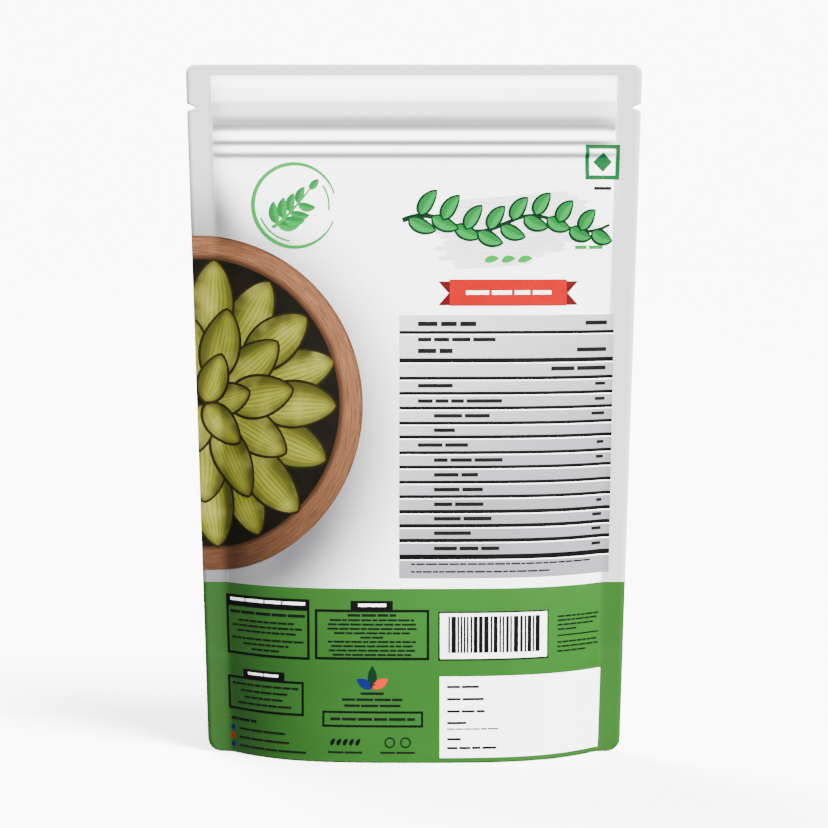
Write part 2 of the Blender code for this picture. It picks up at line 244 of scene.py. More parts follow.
def grid_faces(rows, columns, flip):
    i, j = np.meshgrid(np.arange(rows - 1), np.arange(columns - 1), indexing="ij")
    a = (i * columns + j).ravel()
    quads = np.stack([a, a + 1, a + columns + 1, a + columns], axis=1)
    return quads[:, ::-1] if flip else quads


def sheet_mesh(name, points, flat, flip):
    """A grid mesh from points[row, column], with the flat (s, t) of each point as its UV map."""
    rows, columns = points.shape[:2]
    data = bpy.data.meshes.new(name)
    quads = grid_faces(rows, columns, flip)
    data.from_pydata(points.reshape(-1, 3).tolist(), [], quads.tolist())
    layer = data.uv_layers.new(name="flat")
    flat = flat.reshape(-1, 2)[np.array([loop.vertex_index for loop in data.loops])]
    layer.data.foreach_set("uv", (flat * UV_PER_MM).ravel())
    data.shade_smooth()
    return data


def thicken(obj, offset):
    """Gives a sheet the film's thickness, its lining as the second material."""
    modifier = obj.modifiers.new("film", "SOLIDIFY")
    modifier.thickness = FILM * MM
    modifier.offset = offset
    modifier.use_even_offset = True
    modifier.material_offset = 1
    modifier.material_offset_rim = 1


# Materials
class Nodes:
    """A short hand for building one material's nodes."""

    def __init__(self, name, roughness, specular=0.5):
        self.material = bpy.data.materials.new(name)
        self.material.use_nodes = True
        self.tree = self.material.node_tree
        self.shader = self.tree.nodes["Principled BSDF"]
        self.shader.inputs["Roughness"].default_value = roughness
        self.shader.inputs["Specular IOR Level"].default_value = specular

    def add(self, kind, **settings):
        node = self.tree.nodes.new(kind)
        for key, value in settings.items():
            setattr(node, key, value)
        return node

    def put(self, socket, value):
        if hasattr(value, "is_linked"):
            self.tree.links.new(value, socket)
        else:
            socket.default_value = value

    def math(self, operation, *values):
        node = self.add("ShaderNodeMath", operation=operation)
        for socket, value in zip(node.inputs, values):
            self.put(socket, value)
        return node.outputs[0]

    def mix(self, share, low, high):
        node = self.add("ShaderNodeMix", data_type="RGBA")
        self.put(node.inputs["Factor"], share)
        self.put(node.inputs["A"], low)
        self.put(node.inputs["B"], high)
        return node.outputs["Result"]

    def span(self, value, low, high, start=0.0, end=1.0):
        """A value that runs from low to high, as one that eases from start to end."""
        node = self.add("ShaderNodeMapRange", interpolation_type="SMOOTHSTEP")
        keys = ("Value", "From Min", "From Max", "To Min", "To Max")
        for key, item in zip(keys, (value, low, high, start, end)):
            self.put(node.inputs[key], item)
        return node.outputs["Result"]

    def noise(self, scale, detail=3.0, vector=None, stretch=None):
        node = self.add("ShaderNodeTexNoise")
        node.inputs["Scale"].default_value = scale
        node.inputs["Detail"].default_value = detail
        source = vector or self.add("ShaderNodeTexCoord").outputs["Object"]
        if stretch:
            mapping = self.add("ShaderNodeMapping")
            mapping.inputs["Scale"].default_value = stretch
            self.tree.links.new(source, mapping.inputs["Vector"])
            source = mapping.outputs["Vector"]
        self.tree.links.new(source, node.inputs["Vector"])
        return node.outputs["Fac"]

    def uv(self, name):
        split = self.add("ShaderNodeSeparateXYZ")
        self.tree.links.new(self.add("ShaderNodeUVMap", uv_map=name).outputs["UV"], split.inputs[0])
        return split.outputs["X"], split.outputs["Y"]

    def stretched(self, along, across, by_along, by_across):
        """A patch's own coordinates, stretched each way, as a vector for noise."""
        vector = self.add("ShaderNodeCombineXYZ")
        self.put(vector.inputs["X"], self.math("MULTIPLY", along, by_along))
        self.put(vector.inputs["Y"], self.math("MULTIPLY", across, by_across))
        return vector.outputs[0]

    def bump(self, height, distance, strength):
        node = self.add("ShaderNodeBump")
        node.inputs["Strength"].default_value = strength
        node.inputs["Distance"].default_value = distance
        self.tree.links.new(height, node.inputs["Height"])
        self.tree.links.new(node.outputs["Normal"], self.shader.inputs["Normal"])

    def colour(self, value):
        self.put(self.shader.inputs["Base Color"], value)

    def roughness(self, value):
        self.put(self.shader.inputs["Roughness"], value)

    def uneven(self, noise, low, high):
        """Roughness that wanders with a noise from low to high."""
        self.roughness(self.span(noise, 0.2, 0.8, low, high))

    def fine_grain(self):
        """The faint tooth of ink on film."""
        self.bump(self.noise(900.0, 2.0), 0.00001, 0.4)


def linear(red, green, blue):
    """An sRGB colour in 0 to 255 as the linear RGBA that shaders take."""
    channels = []
    for value in (red, green, blue):
        value /= 255
        channels.append(value / 12.92 if value <= 0.04045 else ((value + 0.055) / 1.055) ** 2.4)
    return (*channels, 1.0)


INK_SHARE = 0.77


def printed(red, green, blue):
    """An ink's colour: darker than it looks, because the light on it is strong."""
    return tuple(channel * INK_SHARE for channel in linear(red, green, blue)[:3]) + (1.0,)


def varied(nodes, colour, amount, scale):
    """The colour, a little lighter and darker in soft patches."""
    dark = tuple(channel * (1 - amount) for channel in colour[:3]) + (1.0,)
    light = tuple(min(1.0, channel * (1 + amount)) for channel in colour[:3]) + (1.0,)
    return nodes.mix(nodes.span(nodes.noise(scale), 0.3, 0.7), dark, light)


FILM_WHITE = linear(250, 250, 249)
SEAL_WHITE = linear(178, 178, 179)
BAND_GREEN = printed(31, 82, 24)
BAND_LIGHT = printed(36, 89, 28)
SEAL_GREEN = printed(36, 83, 27)
# The dark green that the foot's painted shade mixes towards
BAND_PAINTED_SHADE = printed(32, 50, 22)
BAND_TOP = 57.0
# Painted shade along the creases of the zip and the header: (lowest, highest, softness below, softness above,
# depth)
PAINTED_CREASE_SHADES = [
    (207.1, 207.4, 2.2, 4.6, 0.91), (202.2, 202.4, 1.45, 1.3, 0.64), (198.45, 198.6, 1.9, 1.5, 0.70),
    (209.5, 215.4, 1.0, 1.0, 0.40),
]
# The grey that painted shade mixes towards, in the creases and beside the side seals
PAINTED_SHADE_GREY = linear(96, 97, 100)
SHADOW_DROP, SHADOW_REACH, SHADOW_GREY = 9.5, 31.0, linear(68, 68, 71)


def printed_film(name, picture):
    """White satin film with a green foot, greyer where it is heat-sealed, with painted shade in the creases
    of the zip and the header, beside the side seals and towards the left of the foot.

    picture is the (s, t, radius) of a round picture that has a soft shadow printed round it."""
    n = Nodes(name, 0.42, 0.16)
    s, t = n.uv("flat")
    aside = n.math("ABSOLUTE", s)
    in_band = n.math("LESS_THAN", t, BAND_TOP * UV_PER_MM)
    side_seal = n.span(aside, FLAT_BODY * UV_PER_MM - 0.0015, FLAT_BODY * UV_PER_MM + 0.0005)
    top_seal = n.span(t, TOP_SEAL_FROM * UV_PER_MM - 0.001, TOP_SEAL_FROM * UV_PER_MM + 0.001)
    sealed = n.math("MAXIMUM", side_seal, top_seal)
    white, seal_white = varied(n, FILM_WHITE, 0.012, 60.0), varied(n, SEAL_WHITE, 0.01, 300.0)

    # Painted shade in the creases across the zip and the header
    inside = n.span(aside, (FLAT_BODY + 0.3) * UV_PER_MM, (FLAT_BODY - 0.5) * UV_PER_MM)
    for low, high, soft_below, soft_above, depth in PAINTED_CREASE_SHADES:
        below = n.span(t, (low - soft_below) * UV_PER_MM, low * UV_PER_MM)
        above = n.span(t, (high + soft_above) * UV_PER_MM, high * UV_PER_MM, 0.0, depth)
        share = n.math("MULTIPLY", n.math("MULTIPLY", below, above), inside)
        white = n.mix(share, white, PAINTED_SHADE_GREY)

    # Soft shadow round and under the picture
    ps, pt, radius = (value * UV_PER_MM for value in picture)
    across = n.math("SUBTRACT", s, ps)
    upward = n.math("SUBTRACT", t, pt - SHADOW_DROP * UV_PER_MM)
    far = n.math("SQRT", n.math("ADD", n.math("POWER", across, 2.0), n.math("POWER", upward, 2.0)))
    shade = n.span(far, radius + SHADOW_REACH * UV_PER_MM, radius - 0.06, 0.0, 0.97)
    near_edge, near_middle = n.span(s, -0.60, -0.40, 0.90, 1.0), n.span(s, -0.10, -0.35, 0.88, 1.0)
    shade = n.math("MULTIPLY", shade, n.math("MULTIPLY", near_edge, near_middle))
    white = n.mix(shade, white, SHADOW_GREY)
    seal_white = n.mix(shade, seal_white, SHADOW_GREY)

    # Painted shade where the film bends into the side seals, and in the left seal above the picture
    left_bend_shade = n.math("MULTIPLY", n.span(s, -0.53, -0.675, 0.0, 0.86), n.span(t, 1.2, 1.6))
    right_bend_shade = n.span(s, 0.61, 0.675, 0.0, 0.10)
    beside_seal_shade = n.math("MULTIPLY", n.math("ADD", left_bend_shade, right_bend_shade), n.span(t, 1.95, 1.76))
    white = n.mix(beside_seal_shade, white, PAINTED_SHADE_GREY)
    above_picture_shade = n.math("MULTIPLY", n.span(t, 1.98, 1.72, 0.0, 0.42), n.span(t, 1.2, 1.6))
    left_seal_shade = n.math("MULTIPLY", above_picture_shade, n.span(s, 0.0, -0.3))
    seal_white = n.mix(left_seal_shade, seal_white, PAINTED_SHADE_GREY)

    # Green foot, with painted shade towards the left on the body and on the left seal
    band = n.mix(n.span(t, 0.20, 0.57), varied(n, BAND_GREEN, 0.03, 90.0), varied(n, BAND_LIGHT, 0.03, 90.0))
    band = n.mix(n.span(s, 0.10, -0.35, 0.0, 0.26), band, BAND_PAINTED_SHADE)
    seal_band = n.mix(n.span(s, 0.40, -0.67, 0.0, 0.44), varied(n, SEAL_GREEN, 0.02, 300.0), BAND_PAINTED_SHADE)
    body, seal = n.mix(in_band, white, band), n.mix(in_band, seal_white, seal_band)
    n.colour(n.mix(sealed, body, seal))
    base_roughness = n.math("MULTIPLY_ADD", sealed, 0.06, 0.36)
    n.roughness(n.math("ADD", n.math("MULTIPLY", n.noise(35.0), 0.10), base_roughness))
    grain = n.math("MULTIPLY", n.noise(1400.0, 3.0), n.math("MULTIPLY_ADD", sealed, 2.5, 0.6))
    n.bump(grain, 0.00001, 0.6)
    return n.material


def film_lining(name):
    """The film's unprinted inner face and its cut edge."""
    n = Nodes(name, 0.5)
    n.colour(varied(n, linear(228, 228, 226), 0.02, 120.0))
    n.uneven(n.noise(60.0), 0.42, 0.55)
    return n.material


def plain_base(name):
    """Green film without print, for the base."""
    n = Nodes(name, 0.42)
    n.colour(varied(n, BAND_GREEN, 0.03, 90.0))
    n.uneven(n.noise(35.0), 0.36, 0.48)
    n.fine_grain()
    return n.material


INK_ROUGHNESS, INK_GLOSS = 0.46, 0.08


def ink(name, colour, amount=0.04):
    """One flat colour."""
    n = Nodes(name, INK_ROUGHNESS, INK_GLOSS)
    n.colour(varied(n, colour, amount, 140.0))
    n.uneven(n.noise(70.0), INK_ROUGHNESS - 0.04, INK_ROUGHNESS + 0.05)
    n.fine_grain()
    return n.material


def table_ink(name):
    """Light grey that darkens a little towards its lower right."""
    n = Nodes(name, INK_ROUGHNESS, INK_GLOSS)
    along, across = n.uv("local")
    corner = n.math("ADD", n.math("MULTIPLY", along, 0.35), n.math("MULTIPLY_ADD", across, -0.65, 0.65))
    n.colour(n.mix(n.span(corner, -0.06, 0.72), linear(174, 174, 177), linear(115, 115, 119)))
    n.uneven(n.noise(70.0), 0.42, 0.51)
    n.fine_grain()
    return n.material


def brushed_ink(name):
    """Pale grey laid on with a dry brush: streaks along each stroke."""
    n = Nodes(name, INK_ROUGHNESS, INK_GLOSS)
    streaks = n.noise(2.0, 4.0, n.stretched(*n.uv("local"), 2.0, 5.0))
    n.colour(n.mix(n.span(streaks, 0.35, 0.62), linear(184, 184, 186), linear(214, 214, 216)))
    n.uneven(streaks, 0.42, 0.51)
    n.fine_grain()
    return n.material


def wood_ink(name):
    """A printed picture of wood: grain along the rim, darker towards its edges."""
    n = Nodes(name, INK_ROUGHNESS, INK_GLOSS)
    along, across = n.uv("local")
    vector = n.stretched(along, across, 9.0, 16.0)
    grain, pores = n.noise(2.2, 6.0, vector), n.noise(9.0, 8.0, vector)
    tone = n.mix(n.span(grain, 0.30, 0.72), printed(84, 52, 34), printed(130, 88, 61))
    tone = n.mix(n.span(pores, 0.50, 0.68, 0.0, 0.55), tone, printed(60, 33, 18))
    inner = n.span(across, 0.03, 0.36, 0.90, 0.0)
    outer = n.span(across, 0.84, 1.0, 0.0, 0.55)
    lower = n.span(along, 0.66, 0.0, 0.0, 0.66)
    edge = n.math("MAXIMUM", n.math("MAXIMUM", inner, outer), lower)
    n.colour(n.mix(edge, tone, printed(42, 25, 15)))
    n.uneven(grain, 0.38, 0.48)
    n.fine_grain()
    return n.material


def pod_ink(name):
    """A printed motif shaded like a ribbed seed pod: a light ridge, fine ribs and dark edges."""
    n = Nodes(name, INK_ROUGHNESS, INK_GLOSS)
    along, across = n.uv("local")
    fibres = n.noise(1.5, 3.0, n.stretched(along, across, 1.6, 22.0))
    patches = n.noise(95.0, 2.0)
    off_ridge = n.math("ABSOLUTE", n.math("SUBTRACT", across, 0.42))
    ribs = n.math("SINE", n.math("MULTIPLY_ADD", patches, 2.2, n.math("MULTIPLY", across, 56.0)))
    tone = n.mix(n.span(off_ridge, 0.03, 0.52), printed(114, 118, 36), printed(50, 50, 15))
    tone = n.mix(n.span(ribs, 0.0, 1.0, 0.0, 0.50), tone, printed(58, 62, 14))
    tone = n.mix(n.span(fibres, 0.46, 0.66, 0.0, 0.46), tone, printed(56, 58, 15))
    tone = n.mix(n.span(patches, 0.45, 0.75, 0.0, 0.24), tone, printed(172, 172, 78))
    tips = n.span(n.math("ABSOLUTE", n.math("SUBTRACT", along, 0.5)), 0.36, 0.5, 0.0, 0.70)
    n.colour(n.mix(tips, tone, printed(62, 50, 16)))
    n.uneven(patches, 0.38, 0.48)
    n.fine_grain()
    return n.material


def leaf_ink(name, light, dark):
    """A flat printed leaf: pale slanting veins over a two-tone green."""
    n = Nodes(name, INK_ROUGHNESS, INK_GLOSS)
    along, across = n.uv("local")
    slant = n.math("MULTIPLY", n.math("ABSOLUTE", n.math("SUBTRACT", across, 0.5)), -26.0)
    vein = n.math("SINE", n.math("MULTIPLY_ADD", along, 42.0, slant))
    tone = n.mix(n.span(across, 0.35, 0.65), light, dark)
    n.colour(n.mix(n.span(vein, 0.80, 1.0, 0.0, 0.14), tone, printed(120, 200, 120)))
    n.uneven(n.noise(70.0), 0.38, 0.47)
    n.fine_grain()
    return n.material


# Film panels
def film_panel(name, side, node, material, lining):
    """One face of the pouch in place of its CAD panel, with finer cells where the film bends."""
    half = [(0, 58, 1.3), (58, FLAT_BODY, 0.6), (FLAT_BODY, 69, 0.5), (69, 75, 1.35)]
    columns = spread(*half)
    columns = np.concatenate([-columns[:0:-1], columns])
    rows = spread(
        (0, 5, 0.55), (5, 30, 1.6), (30, 36, 1.35), (36, 190, 1.6), (190, 196, 0.7), (196, 210, 0.32),
        (210, 212.7, 0.5), (212.7, 215.3, 0.2), (215.3, 223, 0.6), (223, 228, 0.3),
    )
    s, t = np.meshgrid(columns, rows)
    points = film_point(s, t, side)
    data = sheet_mesh(name, points, np.stack([s, t], axis=-1), flip=side == BACK)
    data.materials.append(material)
    data.materials.append(lining)
    thicken(add_object(name, data, [node]), -1)


# Base gusset
def base_film(name, node, material, lining):
    """The folded base: flanges up the panels, then an arch from one to the other."""
    body = np.sin(np.linspace(-1, 1, 91) * math.pi / 2)
    seal = np.linspace(1, 2, 7)[1:]
    columns = np.concatenate([-seal[::-1], body, seal])
    share = np.minimum(1, np.abs(columns))
    top = seam_height(share)

    def x_at(t):
        chord = edge_x(t) - SEAL
        past = np.clip(np.abs(columns) - 1, 0, 1)
        return np.sign(columns) * (share * chord + past * (outline_x(t) - chord))

    def inset(t):
        x = x_at(t)
        return film_depth(x, t) - GUSSET_INSET

    half = inset(top)
    rise = ARCH_AT_MIDDLE + (half - ARCH_AT_MIDDLE) * share**4
    flange = [(x_at(top * k), -inset(top * k), top * k) for k in np.linspace(0, 1, 13)[:-1]]
    arch = []
    for turn in np.linspace(0, math.pi, 37):
        t = top + rise * math.sin(turn)
        arch.append((x_at(t), -half * math.cos(turn), t))
    rows = flange + arch + [(x, -y, t) for x, y, t in flange[::-1]]
    points = np.array([np.stack(row, axis=-1) for row in rows]) * MM
    flat = np.stack(np.meshgrid(columns * WIDTH / 4, np.linspace(0, 2 * GUSSET_FOLD, len(rows))), axis=-1)
    data = sheet_mesh(name, points, flat, flip=True)
    data.materials.append(material)
    data.materials.append(lining)
    thicken(add_object(name, data, [node]), 0)


# Print as thin slabs of ink, from INK_ROOT inside the film to INK_LIFT and their layers above it
INK_ROOT = -0.05
INK_LIFT = 0.035
INK_LAYER = 0.022
LEAST_CELL = 1e-5
BOX_CELL = 1.2
LINE_GAIN = 0.22
# Bars for words: the gap between them, and their height as a share of the words' own
WORD_GAP = 0.55
TALL_WORDS, TALL_BAR, SMALL_BAR = 1.2, 0.74, 0.85
SHARP_DEGREES = 50


class Print:
    """Collects slabs of one ink on one side of the pouch and makes them one piece."""

    def __init__(self, name, side, material):
        self.name, self.side, self.material = name, side, material
        self.verts, self.faces, self.local = [], [], []
        self.count = 0

    def patch(self, s, t, layer=1):
        """A closed slab over the grid of flat points s[i, j], t[i, j]; points that coincide become one."""
        s, t = np.clip(np.asarray(s, float), -EDGE_S, EDGE_S), np.asarray(t, float)
        rows, columns = s.shape
        v, u = np.meshgrid(np.linspace(0, 1, rows), np.linspace(0, 1, columns), indexing="ij")
        local = np.stack([u, v], axis=-1).reshape(-1, 2)
        flat = np.stack([s, t], axis=-1).reshape(-1, 2)
        first, same = np.unique(np.round(flat, 4), axis=0, return_index=True, return_inverse=True)[1:]

        cells = grid_faces(rows, columns, False)
        rise, fall = flat[cells[:, 2]] - flat[cells[:, 0]], flat[cells[:, 3]] - flat[cells[:, 1]]
        area = rise[:, 0] * fall[:, 1] - rise[:, 1] * fall[:, 0]
        cells = cells[np.abs(area) > LEAST_CELL]
        if (area.sum() < 0) != (self.side == BACK):
            cells = cells[:, ::-1]
        used, joined = np.unique(same.ravel()[cells], return_inverse=True)
        joined, first, size = joined.reshape(cells.shape), first[used], len(used)
        after = np.roll(joined, -1, axis=1)
        whole = (joined != after).all(axis=1)
        groups = [(joined[whole], cells[whole])]
        for row, turned, corners in zip(joined[~whole], after[~whole], cells[~whole]):
            groups.append((row[row != turned][None, :], corners[row != turned][None, :]))
        for faces, corners in groups:
            self.add(faces, local[corners])
            self.add(faces[:, ::-1] + size, local[corners][:, ::-1])

        here, there = joined.ravel(), after.ravel()
        at_rim = (here != there) & ~np.isin(here * size + there, there * size + here)
        here, there = here[at_rim], there[at_rim]
        walls = np.stack([there, here, here + size, there + size], axis=1)
        self.add(walls, local[first][walls % size])
        for lift in (INK_LIFT + INK_LAYER * layer, INK_ROOT):
            self.verts.append(film_point(flat[first, 0], flat[first, 1], self.side, lift))
        self.count += 2 * size

    def add(self, faces, local):
        """Faces of the patch being made, with a local (u, v) for each of their corners."""
        self.faces += (faces + self.count).tolist()
        self.local.append(local.reshape(-1, 2))

    def box(self, s0, t0, s1, t1, layer=1, up_cell=None):
        columns = max(2, math.ceil((s1 - s0) / BOX_CELL) + 1)
        rows = max(2, math.ceil((t1 - t0) / (up_cell or BOX_CELL * 1.4)) + 1)
        self.patch(*np.meshgrid(np.linspace(s0, s1, columns), np.linspace(t0, t1, rows)), layer)

    def frame(self, s0, t0, s1, t1, width, layer=1, up_cell=None):
        """The outline of a box, as four bars that meet without overlapping."""
        width += LINE_GAIN * 0.7
        self.box(s0, t0, s1, t0 + width, layer, up_cell=up_cell)
        self.box(s0, t1 - width, s1, t1, layer, up_cell=up_cell)
        self.box(s0, t0 + width, s0 + width, t1 - width, layer, up_cell=up_cell)
        self.box(s1 - width, t0 + width, s1, t1 - width, layer, up_cell=up_cell)

    def ring(self, centre, inner, outer, start=0.0, end=360.0, layer=1, cell=1.2):
        """A band of a circle; inner may be a number or a function of the angle's share."""
        count = max(8, math.ceil(math.radians(abs(end - start)) * outer / cell))
        share = np.linspace(0, 1, count + 1)
        low = inner(share) if callable(inner) else np.full_like(share, inner)
        bands = max(2, math.ceil(float(np.max(outer - low)) / cell) + 1)
        angle = np.radians(start + (end - start) * share)
        reach = low + (outer - low) * np.linspace(0, 1, bands)[:, None]
        self.patch(centre[0] + reach * np.cos(angle), centre[1] + reach * np.sin(angle), layer)

    def strip(self, path, width, layer=1, cell=1.0):
        """A band along a path of flat points; width is a function of the path's share."""
        path = np.asarray(path, float)
        step = np.gradient(path, axis=0)
        step /= np.linalg.norm(step, axis=1, keepdims=True)
        aside = np.stack([-step[:, 1], step[:, 0]], axis=1)
        half = width(np.linspace(0, 1, len(path))) / 2
        bands = max(3, math.ceil(2 * float(half.max()) / cell) + 1)
        across = np.linspace(-1, 1, bands)[:, None, None]
        points = path + across * (half[:, None] * aside)
        self.patch(points[..., 0], points[..., 1], layer)

    def leaf(self, foot, length, width, angle, bend=0.0, layer=1, fat=0.45, blunt=0.75, cell=1.0):
        """A pointed oval from its foot along the angle, widest at the share fat, its axis bent sideways."""
        count = max(8, math.ceil(length / cell))
        share = np.linspace(0, 1, count + 1)
        turn = math.radians(angle)
        sway = bend * np.sin(math.pi * share)
        path_s = foot[0] + length * share * math.cos(turn) - sway * math.sin(turn)
        path_t = foot[1] + length * share * math.sin(turn) + sway * math.cos(turn)
        power = math.log(0.5) / math.log(fat)

        def profile(u):
            return width * np.maximum(0.03, np.sin(math.pi * np.clip(u, 0, 1) ** power) ** blunt)

        self.strip(np.stack([path_s, path_t], axis=1), profile, layer, cell)

    def words(self, s0, t, width, height, draw, layer=2, centred=False, letter=(2.6, 6.0)):
        """A line of plain bars where a line of words of that height would be."""
        gap = height * WORD_GAP
        bar = height * (TALL_BAR if height > TALL_WORDS else SMALL_BAR)
        if centred:
            s0 -= width / 2
        end = s0 + width
        while s0 < end - letter[0] * 0.5:
            reach = min(draw.uniform(*letter) * height, end - s0)
            if end - s0 - reach < letter[0] * height:
                reach = end - s0
            self.box(s0, t - bar / 2, s0 + reach, t + bar / 2, layer)
            s0 += reach + gap

    def make(self):
        """The slabs collected so far as one piece."""
        data = bpy.data.meshes.new(self.name)
        data.from_pydata(np.concatenate(self.verts).tolist(), [], self.faces)
        data.uv_layers.new(name="local").data.foreach_set("uv", np.concatenate(self.local).ravel())
        data.shade_smooth()
        data.set_sharp_from_angle(angle=math.radians(SHARP_DEGREES))
        data.materials.append(self.material)
        add_object(self.name, data)


# Round pictures: (s, t, radius), and the width of the rim round each
PICTURE, RIM = (-72.5, 116.5, 55.5), 7.8
BACK_PICTURE, BACK_RIM = (0.0, 100.0, 39.0), 5.6
UNDER_RIM = 0.4
PICTURE_CELL = 0.6
# Rings of pods from the outside in: (distance of the foot, length, width, how many to a full turn)
FRONT_RINGS = [(20.5, 27.5, 14.4, 17), (8.5, 25.0, 13.2, 11), (0.8, 17.0, 9.6, 6)]
BACK_RINGS = [(13.5, 19.2, 10.2, 16), (5.5, 17.2, 9.3, 10), (0.5, 12.0, 6.8, 5)]
# A pod's dark edge: how far back it starts, and how much longer and wider it is
POD_EDGE, POD_EDGE_LENGTH, POD_EDGE_WIDTH = 0.9, 1.6, 1.7
POD_SHAPE = {"fat": 0.45, "blunt": 0.6, "cell": PICTURE_CELL}
LEAF_SHAPE = {"fat": 0.42, "blunt": 0.65}


def rosette(make, centre, rings, first, last, draw):
    """Pods pointing outwards in overlapping rings, each with a dark edge under it."""
    for number, (reach, length, width, count) in enumerate(rings):
        for k in range(count):
            angle = first + 360 * (k + 0.5 * (number % 2)) / count
            size, bend, turn_by = draw.uniform(0.94, 1.02), draw.uniform(-0.9, 0.9), draw.uniform(-4.0, 4.0)
            if angle > last:
                continue
            across, upward = math.cos(math.radians(angle)), math.sin(math.radians(angle))
            foot = (centre[0] + reach * across, centre[1] + reach * upward)
            under = (foot[0] - POD_EDGE * across, foot[1] - POD_EDGE * upward)
            last_of_odd = count % 2 and k == count - 1
            layer = 2 + 4 * number + (4 if last_of_odd else 2 * (k % 2))
            long, wide = length * size + POD_EDGE_LENGTH, width + POD_EDGE_WIDTH
            make["shade"].leaf(under, long, wide, angle + turn_by, bend, layer - 1, **POD_SHAPE)
            make["pods"].leaf(foot, length * size, width, angle + turn_by, bend, layer, **POD_SHAPE)


def vine(make, path, stem, feet, lengths, edge, widths, angles, bend, inset):
    """A stem with leaves on its two sides in turn, each over a dark leaf that shows as its edge.

    feet are places in the path, edge is how much longer the dark leaf is, widths are those of the dark and
    the light leaf, and angles are (middle, swing to each side)."""
    make["deep_green"].strip(path, lambda u: stem - 0.8 * u, 1, 0.6)
    for k, (foot, length) in enumerate(zip(feet, lengths)):
        at = path[foot]
        up = 1 if k % 2 else -1
        angle = angles[0] + up * angles[1]
        inner = at + inset * np.array([math.cos(math.radians(angle)), math.sin(math.radians(angle))])
        layer = 2 + 2 * (k // 2 % 2) + 4 * (k % 2)
        make["deep_green"].leaf(at, length + edge, widths[0], angle, bend * up, layer, **LEAF_SHAPE)
        make["leaf"].leaf(inner, length, widths[1], angle, bend * up, layer + 1, **LEAF_SHAPE)


def ribbon(make, left, right, foot, head, tail, middle, half):
    """A bar with a folded end on each side; tail is (how far the left end reaches, and the right one)."""
    make["red"].box(left, foot, right, head, 2)
    u = np.linspace(0, 1, 6)[None, :]
    v = np.linspace(-1, 1, 13)[:, None]
    for inner, outer in ((left, tail[0]), (right, tail[1])):
        reach = inner + (outer - inner) * (u * (0.08 + 0.92 * np.abs(v)))
        make["dark_red"].patch(reach, middle + v * half + 0 * u, 1)


def front_picture(make, draw):
    """A half disc of pods in a wooden rim, cut off by the left edge of the film."""
    s0, t0, radius = PICTURE
    angles = np.radians(np.linspace(-93, 93, 151))

    def half_ring(printer, inner, outer, layer, bands):
        reach = inner + (outer - inner) * np.linspace(0, 1, bands)[:, None]
        printer.patch(s0 + reach * np.cos(angles), t0 + reach * np.sin(angles), layer)

    half_ring(make["dark"], 0.02, radius - RIM + UNDER_RIM, 0, 80)
    make["dark"].box(-EDGE_S, t0 - radius + RIM, s0, t0 + radius - RIM, -1)
    half_ring(make["wood"], radius - RIM, radius, 1.5, 14)
    rosette(make, (s0, t0), FRONT_RINGS, -108, 112, draw)


def front_badge(make):
    """A ring that thins out, and a sprig in it."""
    green, leaf = make["green"], make["leaf"]
    centre, radius = (-39.8, 181.9), 14.2

    def inner(share):
        return radius - 1.35 * np.sin(math.pi * np.clip(share, 0.03, 0.97)) ** 0.4

    green.ring(centre, inner, radius, 16, 338, cell=0.9)
    green.ring(centre, 11.4, 11.95, 200, 262, cell=0.9)
    green.ring(centre, 11.4, 11.95, -8, 34, cell=0.9)
    shares = np.linspace(0, 1, 24)
    stem = np.array([(centre[0] - 7.2 + 12.4 * u, centre[1] - 7.0 + 12.2 * u**1.3) for u in shares])
    green.strip(stem, lambda u: 1.1 - 0.6 * u, 5, 0.6)
    for k, share in enumerate((0.16, 0.34, 0.52, 0.70)):
        at = stem[int(share * 23)]
        length, width = 8.2 - 3.2 * share, 3.7 - 1.2 * share
        leaf.leaf(at, length, width, 98 - 10 * k, 0.6, 1 + 2 * (k % 2))
        leaf.leaf(at, length, width, -4 * k, -0.6, 2 + 2 * (k % 2))
    leaf.leaf(stem[-1], 4.6, 2.5, 48, 0.0, 1)


def front_mark(make, draw):
    """A square with a plain diamond in it, and a short bar under it."""
    make["mark"].frame(56.7, 190.4, 68.6, 201.8, 1.2, 2, up_cell=0.28)
    a, b = np.meshgrid(np.linspace(-1, 1, 15), np.linspace(-1, 1, 25))
    make["mark"].patch(62.6 + 2.3 * (a - b) / 1.42, 196.1 + 2.3 * (a + b) / 1.42, 2)
    make["dull"].words(59.6, 187.5, 6.2, 1.3, draw, letter=(2, 3))


def front_vine(make, draw):
    """A leafy vine over a pale brushed ground, and a ribbon under it."""
    strokes = 14

    def stroke_width(share):
        return 1.78 * np.clip(np.minimum(share * 22, (1 - share) * 22), 0.2, 1) ** 0.7

    for k in range(strokes):
        middle = 1 - abs(2 * k / (strokes - 1) - 1)
        start = 11.0 - 7.0 * middle**0.5 + 5.0 * draw.random()
        end = 51.0 + 7.5 * middle**0.5 + 4.5 * draw.random() - 2.2 * max(0, 6 - k)
        foot = 163.2 + 1.62 * k
        along = np.linspace(start, end, 56)
        path = [(s, foot + 0.075 * (s - 32) + 0.15 * math.sin(s / 6 + k)) for s in along]
        make["pale"].strip(path, stroke_width, 0.2 * (k % 2))
    shares = np.linspace(0, 1, 110)
    path = np.array([(-3.8 + 69.5 * u, 176.0 + 2.6 * math.sin(u * 12.0 + 0.4)) for u in shares])
    vine(
        make, path, stem=1.7, feet=range(3, 105, 6), lengths=[9.2 - 0.12 * k for k in range(17)], edge=1.1,
        widths=(5.3, 3.8), angles=(16, 40), bend=0.6, inset=0.5,
    )
    make["green"].words(54.0, 168.2, 9.6, 1.5, draw, letter=(2.4, 3.4))
    for k in range(3):
        make["green"].leaf((23.5 + 5.6 * k, 163.6), 5.0, 2.3, 12, 0.3, 2)
    ribbon(make, 11.9, 51.3, 149.1, 157.7, tail=(8.1, 55.3), middle=153.2, half=3.9)
    make["white"].words(17.4, 153.4, 28.6, 1.8, draw, 3, letter=(2.2, 4.6))


